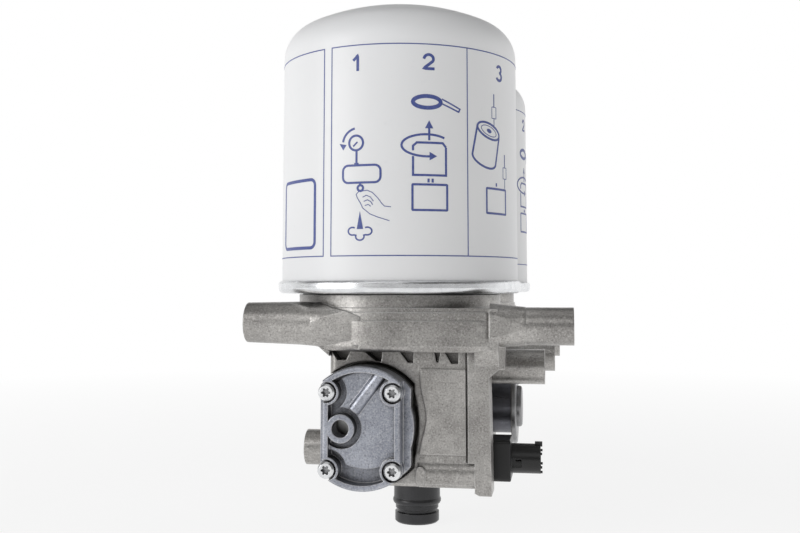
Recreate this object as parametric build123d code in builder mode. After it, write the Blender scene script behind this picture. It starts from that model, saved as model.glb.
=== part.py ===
from build123d import *
import os
from math import cos, pi, radians, sin, sqrt

os.makedirs("parts", exist_ok=True)

# Twin-cartridge compressed-air dryer, in millimetres.
# The origin is on the axis of the front mounting tube, in the middle of the cartridges.
# +X is to the right, +Y is away from the viewer and +Z is up.

# Cartridges
cartridge_radius = 68.0
cartridge_top = 183.0
shell_wall = 1.0
crown_radius = 130.5
knuckle_radius = 20.0
front_axis_y = 45.0
cartridge_pitch = 163.0
seam_radius = 70.0
seam_bottom = 16.8
seam_height = 6.9
bead_roll = 3.0
lid_sheet = 1.6
base_plate_thickness = 6.7
spigot_radius = 19.3
inlet_hole_radius = 4.0
inlet_circle_radius = 34.0
cup_radius = 60.0
cup_wall = 1.2
cup_rim = 4.8
cup_floor = 36.0
felt_thickness = 4.0
bed_height = 100.0
bed_coil_radius = 23.0
bed_coil_wire = 3.0
bed_coil_turns = 3.5

# Clearances
press_gap = 0.05
slide_gap = 0.08
loose_gap = 0.3
rest_gap = 0.3
coil_gap = 0.2
thread_gap = 0.15

# Seal rings between the cartridges and the housing
seal_inner_radius = 48.5
seal_outer_radius = 56.0
seal_channel_depth = 3.4

# Housing, ring heads
head_radius = 60.5
head_step_radius = 59.4
head_neck_radius = 58.8
head_rim_radius = 58.0
head_underside = -10.0
head_step = 2.7
head_neck = 7.2
head_rim = 9.4
head_top = 16.2
web_half_width = 45.0
chamber_outer_radius = 46.0
chamber_inner_radius = 28.0
chamber_floor = 9.2
hub_bore_depth = 10.7
check_bore_radius = 12.5
check_bore_floor = -8.0
spigot_wall = 1.5
check_disc_play = 0.6
check_disc_edge = 2.6
check_disc_height = 3.4
check_stem_radius = 3.0
check_length = 8.0
check_coil_radius = 6.0
check_coil_turns = 4
check_coil_wire = 1.2

# Housing, collar across the front of the front head
collar_bottom = -13.4
collar_lip = 3.0
collar_left = -33.0
collar_back = 12.0
collar_front = -14.0
collar_end = 55.5
collar_end_depth = 5.8
collar_step_shift = 1.0
collar_step_reach = 2.2
collar_corner_width = 8.0
collar_corner_height = 4.6

# Housing, front mounting tube and the arm that carries it
tube_left = -76.4
tube_left_radius = 10.8
tube_left_rise = 1.2
arm_neck_x = -46.0
arm_neck_radius = 11.6
arm_facet_x = -39.0
arm_facet_radius = 11.7
arm_root_x = -12.0
arm_root_radius = 16.2
arm_rise = 0.4
tube_right = 98.8
tube_right_radius = 9.8
tube_right_neck_x = 74.0
tube_right_root = 11.8
tube_right_facet = 10.1
tube_bore_radius = 6.5

# Housing, lower block
block_left = -30.5
block_right = 51.5
block_front = -3.0
block_back = 100.0
block_bottom = -83.5
block_corner = 4.0
block_edge = 1.6
gasket_plane = -5.0
boss_depth = 20.0
moat_gap = 1.6
moat_back = 6.0
moat_bulge = 3.2
moat_bulge_half_height = 19.5
strip_left = 43.7
strip_right = 55.3
strip_groove_depth = 1.2
strip_foot_left = 47.1
strip_foot_top = -70.4
strip_bottom = -86.8
strip_front = -4.5
strip_back = 14.5
shoulder_right = 62.8
shoulder_face_right = 60.0
shoulder_top = 9.0
shoulder_bottom = -22.5
shoulder_slope = 4.2
shoulder_front = -8.6
panel_left = 18.5
panel_right = 42.6
panel_top = -22.5
panel_bottom = -66.5
panel_height = 1.5
bar_left = 17.5
bar_radius = 8.2
bar_axis_z = -76.3
lug_x = 19.0
lug_z = -77.0
lug_width = 4.6
lug_height = 9.0
pocket_deep = 10.0
pocket_shallow = 5.0

# Housing, rear gallery and side ports
gallery_back = 245.0
gallery_bottom = -38.0
gallery_overlap = 10.0
port_radius = 9.75
port_bore_radius = 7.25
port_depth = 15.0
port_places = ((0.0, -24.4, 82.8), (62.0, -22.0, 88.0), (125.0, -17.0, 91.0))
left_port_radius = 10.0
left_port_end = -54.2
left_port_bore_radius = 5.25
left_port_depth = 14.0
left_port_z = -72.0
left_port_y = 45.0

# Valve cover at the front
cover_x = -9.5
cover_z = -51.8
cover_radius = 31.5
flange_inset = 8.1
flange_right_inset = 7.1
cover_inset = 11.2
cover_front = -21.0
gasket_thickness = 2.0
flange_thickness = 4.5
flange_bulge = 1.6
flange_bulge_half_height = 10.5
screw_inset = 5.4
screw_angle = 48.7
screw_shift_x = -1.0
screw_shift_z = -1.5
ear_radius = 4.9
ear_gap = 1.6
crescent_width = 3.6
cover_edge = 0.8
screw_seat_depth = 4.5
screw_head_radius = 4.35
screw_head_height = 5.3
screw_shank_radius = 2.5
screw_length = 26.0
recess_core = 1.75
recess_lobe = 0.6
recess_depth = 2.6
rim_width = 3.0
floor_depth = 3.0
pocket_depth = 8.0
island_inset = 7.0
island_shift_x = 1.5
island_shift_z = 4.0
port_moat_width = 3.2
channel_radius = 3.4
control_port_x = -20.3
control_port_z = -52.0
control_port_radius = 7.3
control_port_bore_radius = 4.5
air_space_depth = 3.0

# Control piston behind the cover
control_bore_inset = 13.5
control_bore_back = 30.0
control_piston_length = 9.0
control_groove_offset = 3.0
control_groove_width = 3.0
control_groove_depth = 2.6
control_nose_radius = 6.0
control_nose_length = 8.0
control_coil_radius = 10.0
control_coil_turns = 5
control_coil_wire = 1.8

# Purge valve and exhaust below the housing
exhaust_x = 5.5
exhaust_y = 75.0
exhaust_bottom = -118.6
exhaust_radius = 13.75
bulge_radius = 14.35
waist_radius = 12.75
groove_neck_radius = 11.5
ring_radius = 13.1
bulge_top = 14.4
bulge_bottom = 10.6
waist_bottom = 8.2
ring_height = 6.0
fitting_spigot = 6.0
fitting_lip = 0.5
groove_taper = 0.4
ring_edge = 0.9
boss_radius = 18.0
boss_bottom = -88.0
purge_bore_radius = 12.0
purge_bore_top = -46.0
purge_web_top = -66.0
purge_web_bottom = -70.0
purge_stem_radius = 3.0
purge_stem_hole = 6.0
purge_outlet_radius = 14.0
purge_seat_thickness = 3.0
exhaust_bore_radius = 9.0

# Regulator on the right side
regulator_y = 76.0
regulator_z = -50.1
regulator_bore_radius = 11.0
regulator_bore_end = 26.0
regulator_neck_radius = 15.6
regulator_flange_radius = 21.5
regulator_flange_x = 62.8
regulator_flange_thickness = 3.0
regulator_plug_radius = 11.9
regulator_end = 68.7

# Solenoid on the right side
solenoid_y = 35.0
solenoid_z = -73.6
solenoid_right = 64.2
solenoid_half_height = 11.1
solenoid_half_depth = 12.0
barrel_radius = 6.6
barrel_end = 32.0
connector_radius = 8.0
connector_bore_radius = 6.4
connector_end = 80.0
connector_floor = 66.5
coding_lug_length = 4.0
window_width = 5.2
window_height = 4.6
window_drop = 1.6
window_depth = 2.6
armature_radius = 2.5

# Shuttle valve between the towers
shuttle_x = -20.0
shuttle_z = -26.0
shuttle_bore_radius = 7.0
shuttle_bore_front = 120.0
shuttle_travel = 3.0

# Values that follow from those above
rear_axis_y = front_axis_y + cartridge_pitch
axes_y = (("front", front_axis_y), ("rear", rear_axis_y))
lid_top = seam_bottom + lid_sheet
channel_top = seam_bottom + seal_channel_depth + lid_sheet
plate_top = channel_top + base_plate_thickness
seal_top = seam_bottom + seal_channel_depth
bed_bottom = cup_floor + cup_wall + felt_thickness
bed_top = bed_bottom + bed_height
lid_seat = bed_top + felt_thickness
cup_top = lid_seat + cup_rim
hub_floor = head_top - hub_bore_depth
cover_back = gasket_plane - gasket_thickness
plate_left = cover_x - cover_radius + flange_inset
plate_right = cover_x + cover_radius - flange_right_inset
cover_half_width = cover_radius - cover_inset
control_bore_radius = cover_radius - control_bore_inset
screw_reach = cover_radius - screw_inset
screw_x = screw_reach * cos(radians(screw_angle))
screw_z = screw_reach * sin(radians(screw_angle))
screw_mid_x = cover_x + screw_shift_x
screw_mid_z = cover_z + screw_shift_z
solenoid_left = block_right
exhaust_plane = Plane(origin=(exhaust_x, exhaust_y, 0), x_dir=(1, 0, 0), z_dir=(0, -1, 0))
exhaust_axis = Axis((exhaust_x, exhaust_y, 0), (0, 0, 1))


def facing_front(y):
    """Sketch plane that faces the viewer at depth y, with X across and Z up."""
    return Plane(origin=(0, y, 0), x_dir=(1, 0, 0), z_dir=(0, -1, 0))


def facing_right(x):
    """Sketch plane that faces +X at x, with Y across and Z up."""
    return Plane(origin=(x, 0, 0), x_dir=(0, 1, 0), z_dir=(1, 0, 0))


def upright_axis(y):
    return Axis((0, y, 0), (0, 0, 1))


def dome_outline(radius, top, crown, knuckle, bottom):
    """Half outline of a domed can: shallow crown, rolled knuckle and straight wall."""
    crown_z = top - crown
    reach = radius - knuckle
    rise = sqrt((crown - knuckle) ** 2 - reach**2)
    stretch = crown / (crown - knuckle)
    with BuildLine() as outline:
        crown_arc = TangentArc((0, top), (reach * stretch, crown_z + rise * stretch), tangent=(1, 0))
        shoulder = TangentArc(crown_arc @ 1, (radius, crown_z + rise), tangent=crown_arc % 1)
        Polyline(shoulder @ 1, (radius, bottom), (0, bottom), (0, top))
    return outline.edges()


def coil_points(radius, height, turns, steps_per_turn=16):
    """Corners of a wound spring, rising along its own Z."""
    count = int(turns * steps_per_turn)
    step = 2 * pi / steps_per_turn
    return [(radius * cos(step * i), radius * sin(step * i), height * i / count) for i in range(count + 1)]


def save(builder, name):
    builder.part.label = name
    export_step(builder.part, f"parts/{name}.step")


def wound_spring(name, seat, radius, length, turns, wire):
    """Compression spring that stands on the seat plane, a hair clear of it, and grows along its normal."""
    with BuildPart() as spring:
        with BuildLine(seat.offset(wire / 2 + coil_gap)) as coil:
            Polyline(*coil_points(radius, length - wire - 2 * coil_gap, turns))
        with BuildSketch(Plane(origin=coil.line @ 0, z_dir=coil.line % 0)):
            Rectangle(wire * 0.94, wire * 0.94)
        sweep(transition=Transition.RIGHT)
    save(spring, name)


# Outline that the cover's flange, its gasket and their seat on the housing share
with BuildSketch() as plate_outline:
    with Locations((cover_x, cover_z)):
        Circle(cover_radius)
    with Locations((plate_left, cover_z)):
        Rectangle(
            plate_right - plate_left,
            2 * cover_radius,
            align=(Align.MIN, Align.CENTER),
            mode=Mode.INTERSECT,
        )
    with BuildLine():
        bulge_arc = ThreePointArc(
            (plate_right, cover_z - flange_bulge_half_height),
            (plate_right + flange_bulge, cover_z),
            (plate_right, cover_z + flange_bulge_half_height),
        )
        Line(bulge_arc @ 1, bulge_arc @ 0)
    make_face()

# Cartridges: two alike, one behind the other
for place, axis_y in axes_y:
    with BuildPart() as cartridge_shell:
        with BuildSketch(facing_front(axis_y)):
            make_face(dome_outline(cartridge_radius, cartridge_top, crown_radius, knuckle_radius, lid_top))
        revolve(axis=upright_axis(axis_y))
        with BuildSketch(facing_front(axis_y)):
            make_face(
                dome_outline(
                    cartridge_radius - shell_wall,
                    cartridge_top - shell_wall,
                    crown_radius - shell_wall,
                    knuckle_radius - shell_wall,
                    lid_top,
                )
            )
        revolve(axis=upright_axis(axis_y), mode=Mode.SUBTRACT)
    save(cartridge_shell, f"{place}_cartridge_shell")

    # The lid is folded round the shell's edge into the bright seam bead
    with BuildPart() as seam_lid:
        bead_inner = cartridge_radius + press_gap
        channel_inner = seal_inner_radius - loose_gap
        channel_outer = seal_outer_radius + loose_gap
        with BuildSketch(facing_front(axis_y)) as lid_profile:
            with BuildLine():
                Polyline(
                    (spigot_radius + lid_sheet, seam_bottom),
                    (channel_inner, seam_bottom),
                    (channel_inner, seal_top),
                    (channel_outer, seal_top),
                    (channel_outer, seam_bottom),
                    (seam_radius, seam_bottom),
                    (seam_radius, seam_bottom + seam_height),
                    (bead_inner, seam_bottom + seam_height),
                    (bead_inner, lid_top),
                    (channel_outer + lid_sheet, lid_top),
                    (channel_outer + lid_sheet, channel_top),
                    (channel_inner - lid_sheet, channel_top),
                    (channel_inner - lid_sheet, lid_top),
                    (spigot_radius + lid_sheet, lid_top),
                    (spigot_radius + lid_sheet, seam_bottom),
                )
            make_face()
            rim_corners = lid_profile.vertices().group_by(Axis.X)[-1].sort_by(Axis.Y)
            fillet(rim_corners[0], radius=bead_roll)
            rim_corners = lid_profile.vertices().group_by(Axis.X)[-1].sort_by(Axis.Y)
            fillet(rim_corners[-1], radius=(seam_radius - bead_inner) * 0.9)
        revolve(axis=upright_axis(axis_y))
        with Locations(Plane(origin=(0, axis_y, lid_top))):
            with PolarLocations(inlet_circle_radius, 6):
                Hole(inlet_hole_radius)
    save(seam_lid, f"{place}_seam_lid")

    with BuildPart() as base_plate:
        with BuildSketch(Plane.XY.offset(channel_top)):
            with Locations((0, axis_y)):
                Circle(cartridge_radius - shell_wall - loose_gap)
        extrude(amount=base_plate_thickness)
        with BuildSketch(Plane.XY.offset(lid_top)):
            with Locations((0, axis_y)):
                Circle(channel_inner - lid_sheet - loose_gap)
        extrude(amount=channel_top - lid_top)
        with Locations(Plane(origin=(0, axis_y, plate_top))):
            Hole(spigot_radius + thread_gap)
            with PolarLocations(inlet_circle_radius, 6):
                Hole(inlet_hole_radius)
    save(base_plate, f"{place}_base_plate")

    with BuildPart() as seal_ring:
        with BuildSketch(Plane.XY.offset(head_top)):
            with Locations((0, axis_y)):
                Circle(seal_outer_radius)
                Circle(seal_inner_radius, mode=Mode.SUBTRACT)
        extrude(amount=seal_top - head_top)
        chamfer(seal_ring.faces().sort_by(Axis.Z)[-1].edges(), length=0.8)
    save(seal_ring, f"{place}_seal_ring")

    # Inner cup: neck on the base plate, perforated floor, straight wall open at the top
    with BuildPart() as desiccant_cup:
        neck_radius = inlet_circle_radius - inlet_hole_radius - 1.0
        with BuildSketch(facing_front(axis_y)):
            with BuildLine():
                Polyline(
                    (0, cup_floor),
                    (neck_radius - cup_wall, cup_floor),
                    (neck_radius - cup_wall, plate_top),
                    (neck_radius, plate_top),
                    (neck_radius, cup_floor),
                    (cup_radius, cup_floor),
                    (cup_radius, cup_top),
                    (cup_radius - cup_wall, cup_top),
                    (cup_radius - cup_wall, cup_floor + cup_wall),
                    (0, cup_floor + cup_wall),
                    (0, cup_floor),
                )
            make_face()
        revolve(axis=upright_axis(axis_y))
        with Locations(Plane(origin=(0, axis_y, cup_floor + cup_wall))):
            with PolarLocations(neck_radius * 0.6, 8):
                Hole(inlet_hole_radius)
    save(desiccant_cup, f"{place}_desiccant_cup")

    fill_radius = cup_radius - cup_wall - loose_gap
    layers = (
        ("lower_filter", cup_floor + cup_wall, felt_thickness),
        ("desiccant_bed", bed_bottom, bed_height),
        ("upper_filter", bed_top, felt_thickness),
    )
    for layer_name, layer_bottom, layer_height in layers:
        with BuildPart() as layer:
            with BuildSketch(Plane.XY.offset(layer_bottom)):
                with Locations((0, axis_y)):
                    Circle(fill_radius)
            extrude(amount=layer_height)
        save(layer, f"{place}_{layer_name}")

    # Perforated cap that the spring presses on the bed
    with BuildPart() as bed_cap:
        with BuildSketch(Plane.XY.offset(lid_seat)):
            with Locations((0, axis_y)):
                Circle(fill_radius)
        extrude(amount=lid_sheet)
        with BuildSketch(Plane.XY.offset(lid_seat + lid_sheet)):
            with Locations((0, axis_y)):
                Circle(bed_coil_radius + bed_coil_wire + lid_sheet)
                Circle(bed_coil_radius + bed_coil_wire, mode=Mode.SUBTRACT)
        extrude(amount=lid_sheet)
        with Locations(Plane(origin=(0, axis_y, lid_seat + lid_sheet))):
            with PolarLocations((bed_coil_radius + fill_radius) / 2 + lid_sheet, 12):
                Hole(inlet_hole_radius)
    save(bed_cap, f"{place}_bed_cap")

    inner_crown = crown_radius - shell_wall
    coil_reach = bed_coil_radius + bed_coil_wire / 2
    crown_under = cartridge_top - crown_radius + sqrt(inner_crown**2 - coil_reach**2)
    bed_cap_top = lid_seat + lid_sheet
    wound_spring(
        f"{place}_bed_spring",
        Plane(origin=(0, axis_y, bed_cap_top)),
        bed_coil_radius,
        crown_under - rest_gap - bed_cap_top,
        bed_coil_turns,
        bed_coil_wire,
    )

    # Threaded spigot that the cartridge screws onto, seated in the hub of the ring head
    with BuildPart() as threaded_spigot:
        with BuildSketch(Plane.XY.offset(hub_floor)):
            with Locations((0, axis_y)):
                Circle(spigot_radius)
                Circle(check_bore_radius - spigot_wall, mode=Mode.SUBTRACT)
        extrude(amount=plate_top - hub_floor)
        chamfer(threaded_spigot.faces().sort_by(Axis.Z)[-1].edges(), length=0.8)
    save(threaded_spigot, f"{place}_threaded_spigot")

    # Check valve under the spigot: disc with a guide stem
    with BuildPart() as check_valve:
        disc_radius = check_bore_radius - check_disc_play
        disc_top = hub_floor - rest_gap
        with BuildSketch(facing_front(axis_y)):
            with BuildLine():
                Polyline(
                    (0, disc_top),
                    (disc_radius, disc_top),
                    (disc_radius, disc_top - check_disc_edge),
                    (check_stem_radius, disc_top - check_disc_height),
                    (check_stem_radius, disc_top - check_length),
                    (0, disc_top - check_length),
                    (0, disc_top),
                )
            make_face()
        revolve(axis=upright_axis(axis_y))
    save(check_valve, f"{place}_check_valve")
    wound_spring(
        f"{place}_check_spring",
        Plane(origin=(0, axis_y, check_bore_floor)),
        check_coil_radius,
        disc_top - check_disc_height - rest_gap - check_bore_floor,
        check_coil_turns,
        check_coil_wire,
    )

# Housing: one casting with two ring heads, mounting tube, valve block, gallery and ports
with BuildPart() as housing:
    # Collar under the front head, kept only across the front
    with BuildSketch(facing_front(front_axis_y)) as collar_profile:
        with Locations((head_radius / 2, (collar_bottom + head_step) / 2)):
            Rectangle(head_radius, head_step - collar_bottom)
        fillet(collar_profile.vertices().group_by(Axis.X)[-1].sort_by(Axis.Y)[0], radius=collar_lip)
    revolve(axis=upright_axis(front_axis_y))
    with BuildSketch(Plane.XY.offset(collar_bottom)):
        with Locations((0, collar_back)):
            Rectangle(3 * head_radius, 3 * head_radius, align=(Align.CENTER, Align.MIN))
        with Locations((collar_left, 0)):
            Rectangle(head_radius, 3 * head_radius, align=(Align.MAX, Align.CENTER))
        with Locations((collar_end, 0)):
            Rectangle(head_radius, 3 * head_radius, align=(Align.MIN, Align.CENTER))
    extrude(amount=head_step - collar_bottom, mode=Mode.SUBTRACT)

    # Left arm of the mounting tube: round at its end and swelling towards the head
    arm_sections = (
        (tube_left, tube_left_rise, tube_left_radius),
        (arm_neck_x, 0.75 * tube_left_rise, arm_neck_radius),
        (arm_facet_x, arm_rise, arm_facet_radius),
        (arm_root_x, arm_rise, arm_root_radius),
    )
    for outer, inner in zip(arm_sections, arm_sections[1:]):
        for section_x, section_rise, section_radius in (outer, inner):
            with BuildSketch(facing_right(section_x)):
                with Locations((0, section_rise)):
                    Circle(section_radius)
        loft()
    # The swelling is cast flat in front, sloped on top and level underneath
    with BuildSketch(Plane.XY.offset(-2 * arm_root_radius)):
        with BuildLine():
            Polyline(
                (arm_facet_x, -arm_facet_radius),
                (arm_root_x, collar_front + 0.4),
                (arm_root_x + 1.0, -2 * arm_root_radius),
                (arm_facet_x, -2 * arm_root_radius),
                close=True,
            )
        make_face()
    extrude(amount=4 * arm_root_radius, mode=Mode.SUBTRACT)
    with BuildSketch(facing_front(-2 * arm_root_radius)):
        with BuildLine():
            Polyline(
                (arm_neck_x - 4.0, tube_left_rise + arm_neck_radius + 0.7),
                (-36.0, 12.2),
                (-27.0, 9.3),
                (-20.0, head_neck + 0.7),
                (arm_root_x + 1.0, head_step + 1.7),
                (arm_root_x + 1.0, 2 * arm_root_radius),
                (arm_neck_x - 4.0, 2 * arm_root_radius),
                close=True,
            )
        make_face()
        with Locations((collar_left, collar_bottom)):
            Rectangle(3 * arm_root_radius, arm_root_radius, align=(Align.CENTER, Align.MAX))
    extrude(amount=-4 * arm_root_radius, mode=Mode.SUBTRACT)

    # Right half of the collar, in three steps that end in a staircase
    front_steps = (
        (collar_bottom, collar_bottom + collar_lip, 0),
        (collar_bottom + collar_lip, head_step, 0),
        (head_step, head_neck, 1),
        (head_neck, head_rim, 2),
    )
    for step_bottom, step_top, step_count in front_steps:
        shift = step_count * collar_step_shift
        reach = collar_end + step_count * collar_step_reach
        tuck = collar_lip * 0.7 if step_bottom == collar_bottom else 0
        for outline_z, outline_tuck in ((step_bottom, tuck), (step_top, 0)):
            with BuildSketch(Plane.XY.offset(outline_z)):
                with BuildLine():
                    Polyline(
                        (0, collar_front + shift + outline_tuck),
                        (0.3 * reach, collar_front + shift + outline_tuck),
                        (0.56 * reach, collar_front + shift + 0.6 + outline_tuck),
                        (0.8 * reach, collar_front + shift + 2.2 + outline_tuck),
                        (0.93 * reach, collar_front + shift + 3.6 + outline_tuck),
                        (reach, collar_front + shift + collar_end_depth + outline_tuck),
                        (reach, 0),
                        (0, 0),
                        close=True,
                    )
                make_face()
        loft(ruled=True)
    # Rounded lower corner at the collar's right end
    with BuildSketch(facing_front(-2 * head_radius)):
        with BuildLine():
            corner_arc = EllipticalCenterArc(
                (collar_end - collar_corner_width, collar_bottom + collar_corner_height),
                collar_corner_width,
                collar_corner_height,
                start_angle=-90,
                arc_size=90,
            )
            Polyline(
                corner_arc @ 1,
                (collar_end + 1.0, collar_bottom + collar_corner_height),
                (collar_end + 1.0, collar_bottom - 1.0),
                (collar_end - collar_corner_width, collar_bottom - 1.0),
                corner_arc @ 0,
            )
        make_face()
    extrude(amount=-(2 * head_radius + strip_front), mode=Mode.SUBTRACT)

    # Ring heads, joined by a web
    for place, axis_y in axes_y:
        with BuildSketch(facing_front(axis_y)):
            with BuildLine():
                Polyline(
                    (0, head_underside),
                    (head_radius, head_underside),
                    (head_radius, head_step),
                    (head_step_radius, head_step),
                    (head_step_radius, head_neck),
                    (head_neck_radius, head_neck),
                    (head_neck_radius, head_rim),
                    (head_rim_radius, head_rim),
                    (head_rim_radius, head_top),
                    (0, head_top),
                    close=True,
                )
            make_face()
        revolve(axis=upright_axis(axis_y))
    with BuildSketch(Plane.XY.offset(head_underside)):
        with Locations((0, (front_axis_y + rear_axis_y) / 2)):
            Rectangle(2 * web_half_width, cartridge_pitch)
    extrude(amount=head_rim - head_underside)

    # Valve block below the front head
    with BuildSketch(Plane.XY.offset(block_bottom)):
        with Locations(((block_left + block_right) / 2, (block_front + block_back) / 2)):
            RectangleRounded(block_right - block_left, block_back - block_front, block_corner)
    extrude(amount=head_underside + 1.0 - block_bottom)
    chamfer(housing.faces().sort_by(Axis.Z)[0].outer_wire().edges(), length=block_edge)
    # Curved foot of the arm at the block's left edge
    with BuildSketch(facing_front(block_front)):
        with BuildLine():
            Polyline((block_left - 6.0, collar_bottom + 2.0), (block_left, collar_bottom + 2.0),
                     (block_left, collar_bottom - 3.0), close=True)
        make_face()
    extrude(amount=-collar_back)

    # Rear gallery that carries the side ports
    with BuildSketch(Plane.XY.offset(gallery_bottom)):
        with Locations(((block_left + block_right) / 2, (gallery_back + block_back - gallery_overlap) / 2)):
            RectangleRounded(
                block_right - block_left,
                gallery_back - block_back + gallery_overlap,
                block_corner,
            )
    extrude(amount=head_underside + 1.0 - gallery_bottom)

    # Right arm of the mounting tube, with a flat cast in front of its root
    with BuildSketch(facing_right(tube_right)):
        Circle(tube_right_radius)
    extrude(amount=tube_right_neck_x - tube_right)
    with BuildSketch(facing_right(tube_right_neck_x)):
        Circle(tube_right_radius + 0.2)
    with BuildSketch(facing_right(collar_end)):
        Circle(tube_right_root)
    loft()
    with BuildSketch(Plane.XY.offset(-2 * tube_right_root)):
        with Locations((collar_end, -tube_right_facet)):
            Rectangle(
                tube_right_neck_x + 2.0 - collar_end,
                tube_right_root,
                align=(Align.MIN, Align.MAX),
            )
    extrude(amount=4 * tube_right_root, mode=Mode.SUBTRACT)

    # Moat in the front of the block, round the boss of the valve cover
    with BuildSketch(facing_front(gasket_plane)):
        with Locations((cover_x, cover_z)):
            Circle(cover_radius + moat_gap)
        with Locations((plate_left - moat_gap, cover_z)):
            Rectangle(
                plate_right + moat_gap / 2 - plate_left + moat_gap,
                2 * (cover_radius + moat_gap),
                align=(Align.MIN, Align.CENTER),
                mode=Mode.INTERSECT,
            )
        with BuildLine():
            moat_arc = ThreePointArc(
                (plate_right, cover_z - moat_bulge_half_height),
                (plate_right + moat_bulge, cover_z),
                (plate_right, cover_z + moat_bulge_half_height),
            )
            Line(moat_arc @ 1, moat_arc @ 0)
        make_face()
    extrude(amount=gasket_plane - moat_back, mode=Mode.SUBTRACT)

    # Boss for the valve cover, with the outline of its gasket
    with BuildSketch(facing_front(gasket_plane)):
        add(plate_outline.sketch_local)
    extrude(amount=-boss_depth)

    # Strip down the right edge of the front, with a wider shoulder at its top
    with BuildSketch(facing_front(strip_front)):
        with BuildLine():
            Polyline(
                (strip_left, collar_bottom),
                (strip_left, strip_foot_top),
                (strip_foot_left, strip_foot_top),
                (strip_foot_left, strip_bottom + 1.2),
                (strip_foot_left + 2.4, strip_bottom),
                (strip_right + 0.5, strip_bottom),
                (strip_right - 0.4, shoulder_bottom - shoulder_slope),
                (shoulder_face_right, shoulder_bottom),
                (shoulder_face_right, collar_bottom),
                close=True,
            )
        make_face()
    extrude(amount=strip_front - strip_back)
    with BuildSketch(Plane.XY.offset(shoulder_bottom)):
        with BuildLine():
            Polyline(
                (collar_end - collar_corner_width, strip_front),
                (shoulder_face_right, strip_front),
                (shoulder_right, strip_front + 3.0),
                (shoulder_right, strip_back),
                (collar_end - collar_corner_width, strip_back),
                close=True,
            )
        make_face()
    extrude(amount=shoulder_top - shoulder_bottom)
    # The shoulder swells forward round the tube's bore
    with BuildSketch(facing_right(collar_end - collar_corner_width)):
        with BuildLine():
            Polyline(
                (strip_front, shoulder_bottom + 2.0),
                (shoulder_front, collar_bottom + 1.0),
                (shoulder_front, shoulder_top),
                (0, shoulder_top),
                (0, shoulder_bottom + 2.0),
                close=True,
            )
        make_face()
    extrude(amount=shoulder_face_right - collar_end + collar_corner_width)

    # Raised panel with a waved left edge
    with BuildSketch(facing_front(block_front)):
        with BuildLine():
            Spline(
                (panel_left + 0.6, panel_top),
                (panel_left + 0.9, -34.0),
                (panel_left + 3.4, -48.7),
                (panel_left + 0.9, -60.0),
                (panel_left - 0.3, panel_bottom),
            )
            Polyline(
                (panel_left - 0.3, panel_bottom),
                (panel_right, panel_bottom),
                (panel_right, panel_top),
                (panel_left + 0.6, panel_top),
            )
        make_face()
    extrude(amount=panel_height)

    # Rounded channel along the bottom edge, with a small lug at its left end
    with BuildSketch(facing_right(bar_left)):
        with Locations((block_front + bar_radius - 2.0, bar_axis_z)):
            Circle(bar_radius)
    extrude(amount=strip_foot_left - bar_left)
    with BuildSketch(facing_front(block_front + 2.0)):
        with Locations((lug_x, lug_z)):
            RectangleRounded(lug_width, lug_height, 0.45 * lug_width)
    extrude(amount=5.4)

    # Boss for the exhaust under the block
    with BuildSketch(Plane.XY.offset(boss_bottom)):
        with Locations((exhaust_x, exhaust_y)):
            Circle(boss_radius)
    extrude(amount=block_bottom - boss_bottom + 1.0)

    # Ports on the right and on the left
    for port_y, port_z, port_end in port_places:
        with BuildSketch(facing_right(port_end)):
            with Locations((front_axis_y + port_y, port_z)):
                Circle(port_radius)
        extrude(amount=block_right - 2.0 - port_end)
    with BuildSketch(facing_right(left_port_end)):
        with Locations((left_port_y, left_port_z)):
            Circle(left_port_radius)
    extrude(amount=block_left - left_port_end + 2.0)

    # Pockets cast under the collar, between short ribs
    pocket_top = collar_bottom - 0.1
    pocket_outlines = (
        (((-29.8, pocket_top), (-18.8, pocket_top), (-21.2, -18.4), (-26.0, -18.5)), pocket_deep),
        (((-11.7, pocket_top), (-1.5, pocket_top), (-2.2, -19.2), (-5.6, -18.5)), pocket_deep),
        (((7.5, pocket_top), (15.2, pocket_top), (14.9, -19.4), (12.0, -19.4)), pocket_shallow),
        (((26.0, pocket_top), (29.4, pocket_top), (28.4, -19.1), (27.2, -19.1)), pocket_shallow),
        (((31.5, pocket_top), (39.0, pocket_top), (38.7, -19.6), (35.1, -19.7)), pocket_shallow),
    )
    for outline, depth in pocket_outlines:
        with BuildSketch(facing_front(gasket_plane)):
            with BuildLine():
                Polyline(*outline, close=True)
            make_face()
        extrude(amount=gasket_plane - block_front - depth, mode=Mode.SUBTRACT)

    # Groove between the panel and the strip
    with BuildSketch(facing_front(gasket_plane)):
        with Locations((strip_left, collar_bottom)):
            Rectangle(strip_left - panel_right, collar_bottom - strip_foot_top, align=(Align.MAX, Align.MAX))
    extrude(amount=gasket_plane - block_front - strip_groove_depth, mode=Mode.SUBTRACT)

    # Bore of the mounting tube
    with BuildSketch(facing_right(tube_left)):
        Circle(tube_bore_radius)
    extrude(amount=tube_right - tube_left, mode=Mode.SUBTRACT)

    # Inlet chamber, hub bore and check valve bore of each head
    for place, axis_y in axes_y:
        with BuildSketch(Plane.XY.offset(head_top)):
            with Locations((0, axis_y)):
                Circle(chamber_outer_radius)
                Circle(chamber_inner_radius, mode=Mode.SUBTRACT)
        extrude(amount=chamber_floor - head_top, mode=Mode.SUBTRACT)
        with BuildSketch(Plane.XY.offset(head_top)):
            with Locations((0, axis_y)):
                Circle(spigot_radius + press_gap)
        extrude(amount=-hub_bore_depth, mode=Mode.SUBTRACT)
        with BuildSketch(Plane.XY.offset(hub_floor)):
            with Locations((0, axis_y)):
                Circle(check_bore_radius)
        extrude(amount=check_bore_floor - hub_floor, mode=Mode.SUBTRACT)

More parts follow.
